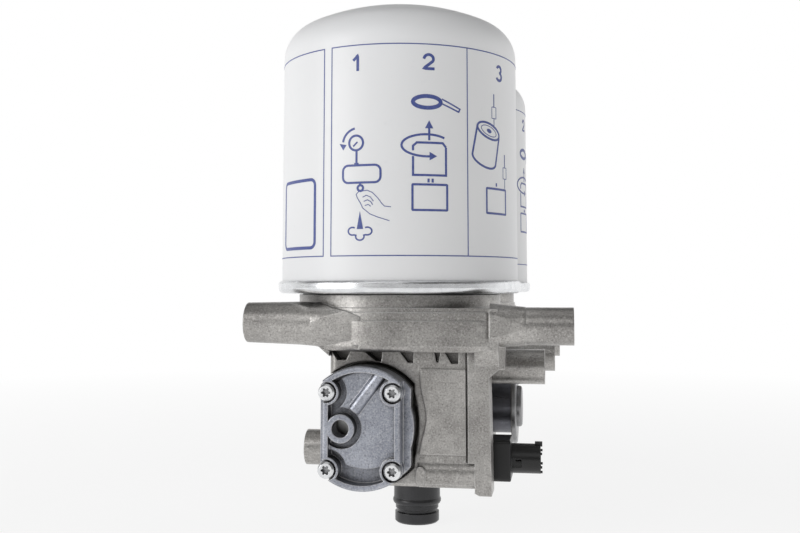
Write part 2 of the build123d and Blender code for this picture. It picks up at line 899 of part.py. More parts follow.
    # Bores of the ports
    for port_y, port_z, port_end in port_places:
        with BuildSketch(facing_right(port_end)):
            with Locations((front_axis_y + port_y, port_z)):
                Circle(port_bore_radius)
        extrude(amount=-port_depth, mode=Mode.SUBTRACT)
    with BuildSketch(facing_right(left_port_end)):
        with Locations((left_port_y, left_port_z)):
            Circle(left_port_bore_radius)
    extrude(amount=left_port_depth, mode=Mode.SUBTRACT)

    # Control bore and screw holes behind the cover
    with BuildSketch(facing_front(gasket_plane)):
        with Locations((cover_x, cover_z)):
            Circle(control_bore_radius)
    extrude(amount=-(control_bore_back - gasket_plane), mode=Mode.SUBTRACT)
    screw_tip = cover_front + screw_seat_depth + screw_length
    with BuildSketch(facing_front(gasket_plane)):
        with Locations((screw_mid_x, screw_mid_z)):
            with GridLocations(2 * screw_x, 2 * screw_z, 2, 2):
                Circle(screw_shank_radius + press_gap)
    extrude(amount=-(screw_tip + 1.0 - gasket_plane), mode=Mode.SUBTRACT)

    # Purge valve bores, one above the other
    with BuildSketch(Plane.XY.offset(purge_web_top)):
        with Locations((exhaust_x, exhaust_y)):
            Circle(purge_bore_radius)
    extrude(amount=purge_bore_top - purge_web_top, mode=Mode.SUBTRACT)
    with BuildSketch(Plane.XY.offset(purge_web_bottom)):
        with Locations((exhaust_x, exhaust_y)):
            Circle(purge_stem_hole)
    extrude(amount=purge_web_top - purge_web_bottom, mode=Mode.SUBTRACT)
    with BuildSketch(Plane.XY.offset(boss_bottom)):
        with Locations((exhaust_x, exhaust_y)):
            Circle(purge_outlet_radius)
    extrude(amount=purge_web_bottom - boss_bottom, mode=Mode.SUBTRACT)

    # Regulator bore, solenoid socket and shuttle bore
    with BuildSketch(facing_right(block_right)):
        with Locations((regulator_y, regulator_z)):
            Circle(regulator_bore_radius)
    extrude(amount=-(block_right - regulator_bore_end), mode=Mode.SUBTRACT)
    with BuildSketch(facing_right(block_right)):
        with Locations((solenoid_y, solenoid_z)):
            Circle(barrel_radius + press_gap)
    extrude(amount=-(block_right - barrel_end + 1.0), mode=Mode.SUBTRACT)
    with BuildSketch(facing_front(gallery_back)):
        with Locations((shuttle_x, shuttle_z)):
            Circle(shuttle_bore_radius)
    extrude(amount=gallery_back - shuttle_bore_front, mode=Mode.SUBTRACT)
save(housing, "housing")


# Valve cover: flange, raised rim, sunk floor, port boss and a rounded channel
with BuildPart() as valve_cover:
    with BuildSketch(facing_front(cover_back)):
        add(plate_outline.sketch_local)
    extrude(amount=flange_thickness)
    with BuildSketch(facing_front(cover_back)):
        with Locations((cover_x, cover_z)):
            Circle(cover_radius)
            Rectangle(2 * cover_half_width, 2 * cover_radius, mode=Mode.INTERSECT)
        with Locations((screw_mid_x, screw_mid_z)):
            with GridLocations(2 * screw_x, 2 * screw_z, 2, 2):
                Circle(ear_radius)
    extrude(amount=cover_back - cover_front)
    front_edges = valve_cover.faces().sort_by(Axis.Y)[0].outer_wire().edges()
    chamfer(front_edges, length=cover_edge)
    # Sunk floor inside the rim, then the deep pockets round its raised island
    for depth, island_mode in ((floor_depth, None), (pocket_depth, Mode.SUBTRACT)):
        with BuildSketch(facing_front(cover_front)):
            with Locations((cover_x, cover_z)):
                Circle(cover_radius - rim_width)
                Rectangle(2 * (cover_half_width - rim_width), 2 * cover_radius, mode=Mode.INTERSECT)
            if island_mode:
                with Locations((cover_x + island_shift_x, cover_z + island_shift_z)):
                    Circle(cover_radius - island_inset, mode=island_mode)
            with Locations((screw_mid_x, screw_mid_z)):
                with GridLocations(2 * screw_x, 2 * screw_z, 2, 2):
                    Circle(ear_radius + ear_gap, mode=Mode.SUBTRACT)
            with Locations((control_port_x, control_port_z)):
                Circle(control_port_radius, mode=Mode.SUBTRACT)
        extrude(amount=-depth, mode=Mode.SUBTRACT)
    # Moat over the port boss
    with BuildSketch(facing_front(cover_front)):
        with Locations((control_port_x, control_port_z)):
            Circle(control_port_radius + port_moat_width)
            Circle(control_port_radius, mode=Mode.SUBTRACT)
        with Locations((cover_x, cover_z)):
            Rectangle(2 * (cover_half_width - rim_width), 2 * cover_radius, mode=Mode.INTERSECT)
    extrude(amount=1.0 - pocket_depth, mode=Mode.SUBTRACT)
    # Crescents cut deep beside the two left screws
    with BuildSketch(facing_front(cover_front)):
        with Locations((screw_mid_x - screw_x, screw_mid_z)):
            with GridLocations(1, 2 * screw_z, 1, 2):
                Circle(ear_radius + ear_gap + crescent_width)
        with Locations((screw_mid_x, screw_mid_z)):
            with GridLocations(2 * screw_x, 2 * screw_z, 2, 2):
                Circle(ear_radius + ear_gap, mode=Mode.SUBTRACT)
        with Locations((control_port_x, control_port_z)):
            Circle(control_port_radius, mode=Mode.SUBTRACT)
        with Locations((cover_x, cover_z)):
            Circle(cover_radius - rim_width, mode=Mode.INTERSECT)
            Rectangle(2 * (cover_half_width - rim_width), 2 * cover_radius, mode=Mode.INTERSECT)
    extrude(amount=1.0 - pocket_depth, mode=Mode.SUBTRACT)
    # Rounded channel from the boss to the upper rim
    channel_y = cover_front + floor_depth + 0.6
    channel_start = Vector(control_port_x + 6.5, channel_y, control_port_z + 9.0)
    channel_end = Vector(cover_x + 10.0, channel_y, cover_z + cover_radius - 4.0)
    with BuildSketch(Plane(origin=channel_start, z_dir=channel_end - channel_start)):
        Circle(channel_radius)
    extrude(amount=(channel_end - channel_start).length)
    # Seats and holes of the screws
    with BuildSketch(facing_front(cover_front)):
        with Locations((screw_mid_x, screw_mid_z)):
            with GridLocations(2 * screw_x, 2 * screw_z, 2, 2):
                Circle(screw_head_radius + 1.0)
    extrude(amount=-screw_seat_depth, mode=Mode.SUBTRACT)
    with BuildSketch(facing_front(cover_front)):
        with Locations((screw_mid_x, screw_mid_z)):
            with GridLocations(2 * screw_x, 2 * screw_z, 2, 2):
                Circle(screw_shank_radius + loose_gap)
        with Locations((control_port_x, control_port_z)):
            Circle(control_port_bore_radius)
    extrude(amount=cover_front - cover_back, mode=Mode.SUBTRACT)
    # Air space behind the floor
    with BuildSketch(facing_front(cover_back)):
        with Locations((cover_x, cover_z)):
            Circle(control_bore_radius - 2.0)
    extrude(amount=air_space_depth, mode=Mode.SUBTRACT)
save(valve_cover, "valve_cover")

with BuildPart() as cover_gasket:
    with BuildSketch(facing_front(gasket_plane)):
        add(plate_outline.sketch_local)
        with Locations((cover_x, cover_z)):
            Circle(control_bore_radius - 1.0, mode=Mode.SUBTRACT)
        with Locations((screw_mid_x, screw_mid_z)):
            with GridLocations(2 * screw_x, 2 * screw_z, 2, 2):
                Circle(screw_shank_radius + loose_gap, mode=Mode.SUBTRACT)
    extrude(amount=gasket_thickness)
save(cover_gasket, "cover_gasket")

# Four alike pan-head screws with a six-lobed recess
with BuildPart() as cover_screws:
    seat_y = cover_front + screw_seat_depth
    with BuildSketch(facing_front(seat_y)):
        with Locations((screw_mid_x, screw_mid_z)):
            with GridLocations(2 * screw_x, 2 * screw_z, 2, 2):
                Circle(screw_head_radius)
    extrude(amount=screw_head_height)
    head_rims = cover_screws.faces().group_by(Axis.Y)[0].edges()
    chamfer(head_rims, length=0.9)
    with BuildSketch(facing_front(seat_y)):
        with Locations((screw_mid_x, screw_mid_z)):
            with GridLocations(2 * screw_x, 2 * screw_z, 2, 2):
                Circle(screw_shank_radius)
    extrude(amount=-screw_length)
    with BuildSketch(facing_front(seat_y - screw_head_height)):
        with Locations((screw_mid_x, screw_mid_z)):
            with GridLocations(2 * screw_x, 2 * screw_z, 2, 2):
                Circle(recess_core)
                with PolarLocations(recess_core + 0.1, 6):
                    Circle(recess_lobe)
    extrude(amount=-recess_depth, mode=Mode.SUBTRACT)
save(cover_screws, "cover_screws")

# Control piston, its lip seal and return spring
piston_front = gasket_plane + rest_gap
piston_back = piston_front + control_piston_length
groove_front = piston_front + control_groove_offset
groove_radius = control_bore_radius - control_groove_depth
with BuildPart() as control_piston:
    with BuildSketch(facing_front(piston_front)):
        with Locations((cover_x, cover_z)):
            Circle(control_bore_radius - slide_gap)
    extrude(amount=-control_piston_length)
    with BuildSketch(facing_front(groove_front)):
        with Locations((cover_x, cover_z)):
            Circle(control_bore_radius)
            Circle(groove_radius, mode=Mode.SUBTRACT)
    extrude(amount=-control_groove_width, mode=Mode.SUBTRACT)
    with BuildSketch(facing_front(piston_back)):
        with Locations((cover_x, cover_z)):
            Circle(control_nose_radius)
    extrude(amount=-control_nose_length)
save(control_piston, "control_piston")

with BuildPart() as control_seal:
    with BuildSketch(facing_front(groove_front + 0.1)):
        with Locations((cover_x, cover_z)):
            Circle(control_bore_radius - slide_gap)
            Circle(groove_radius + press_gap, mode=Mode.SUBTRACT)
    extrude(amount=-(control_groove_width - 0.2))
save(control_seal, "control_seal")

wound_spring(
    "control_spring",
    Plane(origin=(cover_x, piston_back, cover_z), x_dir=(1, 0, 0), z_dir=(0, 1, 0)),
    control_coil_radius,
    control_bore_back - piston_back,
    control_coil_turns,
    control_coil_wire,
)

# Purge valve: piston, stem with its disc, seat ring and spring
purge_piston_top = purge_bore_top - 2.0
purge_piston_height = 6.0
purge_seat_bottom = purge_web_bottom - purge_seat_thickness
with BuildPart() as purge_piston:
    with BuildSketch(exhaust_plane):
        with BuildLine():
            Polyline(
                (purge_stem_radius + press_gap, purge_piston_top - purge_piston_height),
                (purge_bore_radius - slide_gap, purge_piston_top - purge_piston_height),
                (purge_bore_radius - slide_gap, purge_piston_top),
                (purge_stem_radius + press_gap, purge_piston_top),
                (purge_stem_radius + press_gap, purge_piston_top - purge_piston_height),
            )
        make_face()
    revolve(axis=exhaust_axis)
save(purge_piston, "purge_piston")

with BuildPart() as purge_valve:
    disc_top = purge_seat_bottom - rest_gap
    with BuildSketch(exhaust_plane):
        with BuildLine():
            Polyline(
                (0, purge_piston_top),
                (purge_stem_radius, purge_piston_top),
                (purge_stem_radius, disc_top),
                (purge_stem_hole + 3.0, disc_top),
                (purge_stem_hole + 3.0, disc_top - 2.0),
                (purge_stem_radius, disc_top - 3.2),
                (0, disc_top - 3.2),
                (0, purge_piston_top),
            )
        make_face()
    revolve(axis=exhaust_axis)
save(purge_valve, "purge_valve")

with BuildPart() as purge_seat:
    with BuildSketch(Plane.XY.offset(purge_seat_bottom)):
        with Locations((exhaust_x, exhaust_y)):
            Circle(purge_outlet_radius - press_gap)
            Circle(purge_stem_hole, mode=Mode.SUBTRACT)
    extrude(amount=purge_web_bottom - purge_seat_bottom)
save(purge_seat, "purge_seat")

wound_spring(
    "purge_spring",
    Plane(origin=(exhaust_x, exhaust_y, purge_web_top)),
    8.5,
    purge_piston_top - purge_piston_height - purge_web_top,
    4,
    1.8,
)

# Exhaust fitting: spigot in the boss, bulge, waist, groove and a plain ring at the end
with BuildPart() as exhaust_fitting:
    spigot_top = boss_bottom + fitting_spigot
    ring_top = exhaust_bottom + ring_height
    bulge_start = exhaust_bottom + bulge_top
    bulge_stop = exhaust_bottom + bulge_bottom
    waist_stop = exhaust_bottom + waist_bottom
    with BuildSketch(exhaust_plane):
        with BuildLine():
            Polyline(
                (exhaust_bore_radius, spigot_top),
                (purge_outlet_radius - press_gap, spigot_top),
                (purge_outlet_radius - press_gap, boss_bottom),
                (exhaust_radius, boss_bottom),
                (exhaust_radius, bulge_start),
            )
            ThreePointArc(
                (exhaust_radius, bulge_start),
                (bulge_radius, (bulge_start + bulge_stop) / 2),
                (waist_radius + fitting_lip, bulge_stop),
            )
            Polyline(
                (waist_radius + fitting_lip, bulge_stop),
                (waist_radius, bulge_stop),
                (waist_radius, waist_stop),
                (groove_neck_radius, waist_stop - groove_taper),
                (groove_neck_radius, ring_top + groove_taper),
                (ring_radius, ring_top),
                (ring_radius, exhaust_bottom + ring_edge),
                (ring_radius - ring_edge, exhaust_bottom),
                (exhaust_bore_radius, exhaust_bottom),
                (exhaust_bore_radius, spigot_top),
            )
        make_face()
    revolve(axis=exhaust_axis)
save(exhaust_fitting, "exhaust_fitting")

# Regulator: flanged sleeve, end plug, piston and spring
regulator_plane = Plane(origin=(0, regulator_y, regulator_z), x_dir=(1, 0, 0), z_dir=(0, -1, 0))
regulator_axis = Axis((0, regulator_y, regulator_z), (1, 0, 0))
sleeve_bore = regulator_bore_radius - 1.5
with BuildPart() as regulator_sleeve:
    flange_right = regulator_flange_x + regulator_flange_thickness
    with BuildSketch(regulator_plane):
        with BuildLine():
            Polyline(
                (block_right - 8.0, sleeve_bore),
                (block_right - 8.0, regulator_bore_radius - press_gap),
                (block_right, regulator_bore_radius - press_gap),
                (block_right, regulator_neck_radius),
                (regulator_flange_x, regulator_neck_radius),
                (regulator_flange_x, regulator_flange_radius - 0.6),
                (regulator_flange_x + 0.6, regulator_flange_radius),
                (flange_right - 0.6, regulator_flange_radius),
                (flange_right, regulator_flange_radius - 0.6),
                (flange_right, sleeve_bore),
                (block_right - 8.0, sleeve_bore),
            )
        make_face()
    revolve(axis=regulator_axis)
save(regulator_sleeve, "regulator_sleeve")

with BuildPart() as regulator_plug:
    with BuildSketch(regulator_plane) as plug_profile:
        with BuildLine():
            Polyline(
                (flange_right - 4.0, 0),
                (flange_right - 4.0, sleeve_bore - press_gap),
                (flange_right, sleeve_bore - press_gap),
                (flange_right, regulator_plug_radius),
                (regulator_end, regulator_plug_radius),
                (regulator_end, 0),
                (flange_right - 4.0, 0),
            )
        make_face()
        fillet(plug_profile.vertices().group_by(Axis.X)[-1].sort_by(Axis.Y)[-1], radius=1.6)
    revolve(axis=regulator_axis)
save(regulator_plug, "regulator_plug")

with BuildPart() as regulator_piston:
    piston_left = regulator_bore_end + rest_gap
    with BuildSketch(facing_right(piston_left)):
        with Locations((regulator_y, regulator_z)):
            Circle(regulator_bore_radius - slide_gap)
    extrude(amount=7.0)
    with BuildSketch(facing_right(piston_left)):
        with Locations((regulator_y, regulator_z)):
            Circle(4.0)
    extrude(amount=14.0)
save(regulator_piston, "regulator_piston")

wound_spring(
    "regulator_spring",
    Plane(origin=(piston_left + 7.0, regulator_y, regulator_z), x_dir=(0, 1, 0), z_dir=(1, 0, 0)),
    6.6,
    flange_right - 4.0 - piston_left - 7.0,
    7,
    1.6,
)

# Solenoid: moulded body with barrel and connector, winding, core, armature and spring
solenoid_plane = Plane(origin=(0, solenoid_y, solenoid_z), x_dir=(1, 0, 0), z_dir=(0, -1, 0))
solenoid_axis = Axis((0, solenoid_y, solenoid_z), (1, 0, 0))
winding_left = barrel_end + 6.0
winding_right = solenoid_left - 1.0
tube_bore = armature_radius + slide_gap
winding_inner = armature_radius + 1.2
winding_outer = barrel_radius - 1.0
with BuildPart() as solenoid_body:
    with BuildSketch(facing_right(solenoid_left)):
        with Locations((solenoid_y, solenoid_z)):
            RectangleRounded(2 * solenoid_half_depth, 2 * solenoid_half_height, 2.0)
    extrude(amount=solenoid_right - solenoid_left)
    fillet(solenoid_body.faces().sort_by(Axis.X)[-1].edges(), radius=0.8)
    with BuildSketch(facing_right(barrel_end)):
        with Locations((solenoid_y, solenoid_z)):
            Circle(barrel_radius)
    extrude(amount=solenoid_left - barrel_end)
    with BuildSketch(facing_right(solenoid_right)):
        with Locations((solenoid_y, solenoid_z)):
            Circle(connector_radius)
    extrude(amount=connector_end - solenoid_right)
    # Coding lugs near the mouth
    with BuildSketch(facing_right(connector_end + 1.0 - coding_lug_length)):
        with Locations((solenoid_y, solenoid_z + connector_radius)):
            Rectangle(3.0, 2.4)
    extrude(amount=coding_lug_length)
    with BuildSketch(facing_right(connector_end)):
        with Locations((solenoid_y, solenoid_z)):
            with PolarLocations((connector_radius + connector_bore_radius) / 2, 6, start_angle=30):
                Circle(0.7)
    extrude(amount=1.0)
    # Mouth of the connector, side window, armature bore and winding space
    with BuildSketch(facing_right(connector_end + 1.0)):
        with Locations((solenoid_y, solenoid_z)):
            Circle(connector_bore_radius)
    extrude(amount=-(connector_end + 1.0 - connector_floor), mode=Mode.SUBTRACT)
    with BuildSketch(facing_front(solenoid_y - connector_radius - 1.0)):
        with Locations((solenoid_right + window_width / 2 + 0.4, solenoid_z - window_drop)):
            Rectangle(window_width, window_height)
    extrude(amount=-window_depth, mode=Mode.SUBTRACT)
    with BuildSketch(facing_right(barrel_end)):
        with Locations((solenoid_y, solenoid_z)):
            Circle(tube_bore)
    extrude(amount=solenoid_right - 3.0 - barrel_end, mode=Mode.SUBTRACT)
    with BuildSketch(facing_right(winding_left)):
        with Locations((solenoid_y, solenoid_z)):
            Circle(winding_outer)
            Circle(winding_inner, mode=Mode.SUBTRACT)
    extrude(amount=winding_right - winding_left, mode=Mode.SUBTRACT)
save(solenoid_body, "solenoid_body")

with BuildPart() as solenoid_winding:
    with BuildSketch(facing_right(winding_left)):
        with Locations((solenoid_y, solenoid_z)):
            Circle(winding_outer - press_gap)
            Circle(winding_inner + press_gap, mode=Mode.SUBTRACT)
    extrude(amount=winding_right - winding_left)
save(solenoid_winding, "solenoid_winding")

with BuildPart() as solenoid_core:
    core_left = solenoid_right - 15.0
    with BuildSketch(facing_right(core_left)):
        with Locations((solenoid_y, solenoid_z)):
            Circle(armature_radius)
    extrude(amount=solenoid_right - 3.0 - core_left)
save(solenoid_core, "solenoid_core")

with BuildPart() as solenoid_armature:
    armature_right = core_left - 3.2
    with BuildSketch(facing_right(barrel_end + rest_gap)):
        with Locations((solenoid_y, solenoid_z)):
            Circle(armature_radius)
    extrude(amount=armature_right - barrel_end - rest_gap)
save(solenoid_armature, "solenoid_armature")

wound_spring(
    "armature_spring",
    Plane(origin=(armature_right, solenoid_y, solenoid_z), x_dir=(0, 1, 0), z_dir=(1, 0, 0)),
    1.8,
    core_left - armature_right,
    3,
    0.5,
)

with BuildPart() as connector_pins:
    with BuildSketch(facing_right(connector_floor)):
        with Locations((solenoid_y, solenoid_z)):
            with GridLocations(5.0, 1.0, 2, 1):
                Circle(0.8)
    extrude(amount=7.0)
save(connector_pins, "connector_pins")

# Shuttle valve in its bore, closed by a hexagon-socket plug at the rear
plug_front = gallery_back - 12.0
with BuildPart() as shuttle_plug:
    with BuildSketch(facing_front(gallery_back)):
        with Locations((shuttle_x, shuttle_z)):
            Circle(shuttle_bore_radius - press_gap)
    extrude(amount=gallery_back - plug_front)
    with BuildSketch(facing_front(gallery_back)):
        with Locations((shuttle_x, shuttle_z)):
            RegularPolygon(4.0, 6)
    extrude(amount=6.0, mode=Mode.SUBTRACT)
save(shuttle_plug, "shuttle_plug")

with BuildPart() as shuttle_valve:
    shuttle_front = shuttle_bore_front + shuttle_travel + rest_gap
    shuttle_back = plug_front - shuttle_travel - rest_gap
    with BuildSketch(facing_front(shuttle_back)):
        with Locations((shuttle_x, shuttle_z)):
            Circle(shuttle_bore_radius - slide_gap)
    extrude(amount=shuttle_back - shuttle_front)
    with BuildSketch(facing_front(shuttle_back - 10.0)):
        with Locations((shuttle_x, shuttle_z)):
            Circle(shuttle_bore_radius)
            Circle(shuttle_bore_radius - 3.0, mode=Mode.SUBTRACT)
    extrude(amount=shuttle_back - shuttle_front - 20.0, mode=Mode.SUBTRACT)
save(shuttle_valve, "shuttle_valve")
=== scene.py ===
import math

import bmesh
import bpy
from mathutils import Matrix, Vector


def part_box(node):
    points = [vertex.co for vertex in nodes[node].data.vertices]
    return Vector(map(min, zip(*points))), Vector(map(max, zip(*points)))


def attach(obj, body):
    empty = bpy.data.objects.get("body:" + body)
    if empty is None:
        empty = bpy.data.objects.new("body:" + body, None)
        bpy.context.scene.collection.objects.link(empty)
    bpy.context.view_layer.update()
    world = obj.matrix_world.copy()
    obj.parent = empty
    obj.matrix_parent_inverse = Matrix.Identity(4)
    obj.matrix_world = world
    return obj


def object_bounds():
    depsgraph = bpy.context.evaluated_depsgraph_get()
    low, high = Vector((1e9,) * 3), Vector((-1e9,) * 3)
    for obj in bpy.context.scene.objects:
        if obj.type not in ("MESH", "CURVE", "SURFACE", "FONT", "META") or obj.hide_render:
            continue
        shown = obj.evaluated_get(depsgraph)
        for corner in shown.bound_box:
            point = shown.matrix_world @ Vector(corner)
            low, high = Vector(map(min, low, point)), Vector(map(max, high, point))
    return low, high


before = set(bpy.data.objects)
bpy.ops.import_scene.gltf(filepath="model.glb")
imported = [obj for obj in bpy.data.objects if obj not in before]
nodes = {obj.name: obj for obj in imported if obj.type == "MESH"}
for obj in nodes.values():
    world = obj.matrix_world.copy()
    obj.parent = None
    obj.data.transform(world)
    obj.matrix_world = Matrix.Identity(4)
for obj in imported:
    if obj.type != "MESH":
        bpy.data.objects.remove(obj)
cad_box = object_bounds()
scene = bpy.context.scene
mm = 0.001


# Camera.

camera_data = bpy.data.cameras.new("camera")
camera_data.lens = 44.02
camera_data.sensor_width = 36.0
camera_data.shift_y = -0.0831
camera_data.clip_start = 0.01
camera = bpy.data.objects.new("camera", camera_data)
camera.location = (92.3 * mm, -518.5 * mm, 20.2 * mm)
camera.rotation_euler = (math.radians(95.1), 0.0, math.radians(9.3))
scene.collection.objects.link(camera)
scene.camera = camera


# Shader graphs.

class Graph:
    """A material's node tree, with short calls for the nodes that the finishes use."""

    def __init__(self, name):
        self.material = bpy.data.materials.new(name)
        self.material.use_nodes = True
        self.tree = self.material.node_tree
        self.tree.nodes.clear()
        self.output = self.tree.nodes.new("ShaderNodeOutputMaterial")
        self.place = self.tree.nodes.new("ShaderNodeTexCoord").outputs["Object"]

    def add(self, kind, inputs=None, **settings):
        made = self.tree.nodes.new(kind)
        for key, value in settings.items():
            setattr(made, key, value)
        for key, value in (inputs or {}).items():
            self.feed(made.inputs[key], value)
        return made

    def feed(self, socket, value):
        if isinstance(value, bpy.types.NodeSocket):
            self.tree.links.new(value, socket)
        else:
            socket.default_value = value

    def stretched(self, scale):
        mapping = self.add("ShaderNodeMapping", {"Vector": self.place, "Scale": scale})
        return mapping.outputs["Vector"]

    def noise(self, scale, detail=4.0, rough=0.55, place=None):
        made = self.add("ShaderNodeTexNoise", {
            "Vector": place or self.place, "Scale": scale, "Detail": detail, "Roughness": rough})
        return made.outputs["Fac"]

    def cells(self, scale, output="Distance", place=None):
        made = self.add("ShaderNodeTexVoronoi", {"Vector": place or self.place, "Scale": scale})
        return made.outputs[output]

    def spread(self, value, low, high, to_low=0.0, to_high=1.0):
        made = self.add("ShaderNodeMapRange", {
            "Value": value, "From Min": low, "From Max": high, "To Min": to_low, "To Max": to_high})
        return made.outputs["Result"]

    def math(self, operation, first, second=0.0):
        made = self.add("ShaderNodeMath", {0: first, 1: second}, operation=operation)
        return made.outputs[0]

    def mix(self, factor, first, second):
        made = self.add("ShaderNodeMix", data_type="RGBA")
        self.feed(made.inputs[0], factor)
        self.feed(made.inputs[6], first)
        self.feed(made.inputs[7], second)
        return made.outputs[2]

    def along(self, axis):
        """The place along the part's own X, Y or Z, in metres."""
        return self.add("ShaderNodeSeparateXYZ", {"Vector": self.place}).outputs[axis]

    def bump(self, value, distance, strength=1.0, normal=None):
        made = self.add("ShaderNodeBump", {"Height": value, "Distance": distance, "Strength": strength})
        if normal is not None:
            self.feed(made.inputs["Normal"], normal)
        return made.outputs["Normal"]

    def rounded(self, radius):
        return self.add("ShaderNodeBevel", {"Radius": radius}, samples=6).outputs["Normal"]

    def edges(self, radius):
        """Near 1 on an edge and 0 on a flat face; used to paint highlights on edges."""
        soft = self.rounded(radius)
        true = self.add("ShaderNodeNewGeometry").outputs["True Normal"]
        dot = self.add("ShaderNodeVectorMath", {0: soft, 1: true}, operation="DOT_PRODUCT").outputs["Value"]
        return self.spread(dot, 0.99, 0.80)

    def painted_recess_shade(self, distance):
        """Near 1 in a corner or a groove and 0 in the open; used to paint shade into recesses."""
        made = self.add("ShaderNodeAmbientOcclusion", {"Distance": distance}, samples=6)
        return self.spread(made.outputs["AO"], 0.85, 0.25)

    def finish(self, **sockets):
        shader = self.add("ShaderNodeBsdfPrincipled")
        for key, value in sockets.items():
            self.feed(shader.inputs[key.replace("_", " ")], value)
        self.tree.links.new(shader.outputs["BSDF"], self.output.inputs["Surface"])
        return self.material


def rgb(red, green, blue):
    return (red, green, blue, 1.0)


# Finishes.

def canister_paint():
    g = Graph("canister_paint")
    cloud = g.noise(9.0, 3.0)
    dust = g.noise(160.0, 5.0, 0.7)
    colour = g.mix(g.spread(cloud, 0.35, 0.7), rgb(0.83, 0.835, 0.845), rgb(0.87, 0.872, 0.875))
    colour = g.mix(g.spread(dust, 0.62, 0.80, 0.0, 0.25), colour, rgb(0.66, 0.67, 0.70))
    # Painted shade: the paint turns darker grey in creases and recesses.
    colour = g.mix(g.math("MULTIPLY", g.painted_recess_shade(0.006), 0.5), colour, rgb(0.40, 0.41, 0.43))
    peel = g.noise(700.0, 2.0)
    rough = g.spread(dust, 0.3, 0.8, 0.32, 0.46)
    normal = g.bump(peel, 0.00002, 0.5)
    return g.finish(Base_Color=colour, Roughness=rough, Normal=normal)


def bright_zinc():
    g = Graph("bright_zinc")
    streak = g.noise(1.0, 5.0, 0.65, g.stretched((60.0, 60.0, 1400.0)))
    stain = g.noise(120.0, 6.0, 0.7)
    colour = g.mix(g.spread(stain, 0.35, 0.75), rgb(0.86, 0.87, 0.88), rgb(0.66, 0.67, 0.69))
    # Painted shade: grooves and recesses in the zinc turn near black.
    colour = g.mix(g.math("MULTIPLY", g.painted_recess_shade(0.004), 0.9), colour, rgb(0.05, 0.05, 0.055))
    # Painted highlight: the edges of the zinc lighten.
    colour = g.mix(g.math("MULTIPLY", g.edges(0.0004), 0.5), colour, rgb(0.88, 0.88, 0.89))
    rough = g.spread(streak, 0.3, 0.7, 0.20, 0.36)
    normal = g.bump(streak, 0.00002, 0.35, g.rounded(0.0003))
    return g.finish(Base_Color=colour, Roughness=rough, Metallic=1.0, Normal=normal)


def cast_metal(name, light, dark, tint):
    g = Graph(name)
    clouds = g.noise(34.0, 4.0, 0.6)
    patches = g.noise(330.0, 6.0, 0.72)
    flecks = g.noise(1100.0, 4.0, 0.7)
    pits = g.cells(620.0)
    colour = g.mix(g.spread(clouds, 0.36, 0.64), light, dark)
    colour = g.mix(g.spread(patches, 0.48, 0.66, 0.0, 0.55), colour, tint)
    colour = g.mix(g.spread(flecks, 0.52, 0.72, 0.0, 0.75), colour, rgb(0.10, 0.095, 0.09))
    colour = g.mix(g.spread(flecks, 0.46, 0.30, 0.0, 0.65), colour, rgb(0.72, 0.705, 0.68))
    # Painted shade: recesses and corners of the casting turn near black.
    colour = g.mix(g.math("MULTIPLY", g.painted_recess_shade(0.009), 0.8), colour, rgb(0.045, 0.042, 0.04))
    # Painted highlight: the edges of the casting lighten to pale grey.
    colour = g.mix(g.math("MULTIPLY", g.edges(0.0009), 0.75), colour, rgb(0.80, 0.79, 0.77))
    rough = g.spread(patches, 0.3, 0.7, 0.27, 0.42)
    normal = g.bump(clouds, 0.0009, 0.4, g.rounded(0.0010))
    normal = g.bump(patches, 0.00022, 0.5, normal)
    normal = g.bump(flecks, 0.00008, 0.5, normal)
    normal = g.bump(g.spread(pits, 0.0, 0.25), 0.00008, 0.4, normal)
    return g.finish(Base_Color=colour, Roughness=rough, Metallic=0.88, Normal=normal)


def turned_metal(name, light, dark, rough_low):
    g = Graph(name)
    rings = g.noise(1.0, 4.0, 0.6, g.stretched((900.0, 900.0, 120.0)))
    stain = g.noise(140.0, 4.0, 0.6)
    colour = g.mix(g.spread(stain, 0.35, 0.75), light, dark)
    # Painted highlight: the edges of the turned metal lighten.
    colour = g.mix(g.math("MULTIPLY", g.edges(0.0004), 0.4), colour, rgb(0.9, 0.89, 0.87))
    rough = g.spread(rings, 0.3, 0.7, rough_low, rough_low + 0.15)
    normal = g.bump(rings, 0.00003, 0.4, g.rounded(0.0003))
    return g.finish(Base_Color=colour, Roughness=rough, Metallic=1.0, Normal=normal)


def regulator_metal():
    """Neck painted darker as shade, behind a lighter flange."""
    g = Graph("regulator_metal")
    rings = g.noise(1.0, 4.0, 0.6, g.stretched((120.0, 900.0, 900.0)))
    stain = g.noise(140.0, 4.0, 0.6)
    flange = g.mix(g.spread(stain, 0.35, 0.75), rgb(0.34, 0.34, 0.345), rgb(0.20, 0.20, 0.205))
    # Painted shade: the neck, short of X 62.5 mm, takes darker colours than the flange.
    neck = g.mix(g.spread(stain, 0.35, 0.75), rgb(0.15, 0.152, 0.17), rgb(0.10, 0.102, 0.116))
    colour = g.mix(g.spread(g.along(0), 0.0625, 0.0628), neck, flange)
    # Painted highlight: the edges of the regulator lighten.
    colour = g.mix(g.math("MULTIPLY", g.edges(0.0004), 0.8), colour, rgb(0.85, 0.85, 0.84))
    rough = g.spread(rings, 0.3, 0.7, 0.26, 0.42)
    normal = g.bump(rings, 0.00003, 0.4, g.rounded(0.0004))
    return g.finish(Base_Color=colour, Roughness=rough, Metallic=0.9, Normal=normal)


def moulded(name, light, dark, rough_low, grain=0.3):
    g = Graph(name)
    cloud = g.noise(70.0, 4.0)
    fine = g.noise(1300.0, 3.0)
    colour = g.mix(g.spread(cloud, 0.35, 0.7), dark, light)
    # Painted highlight: the edges of the moulding lighten to dark grey.
    colour = g.mix(g.math("MULTIPLY", g.edges(0.0005), 0.35), colour, rgb(0.16, 0.16, 0.165))
    rough = g.spread(cloud, 0.3, 0.7, rough_low, rough_low + 0.16)
    normal = g.bump(fine, 0.00005, grain, g.rounded(0.0004))
    return g.finish(Base_Color=colour, Roughness=rough, Normal=normal)


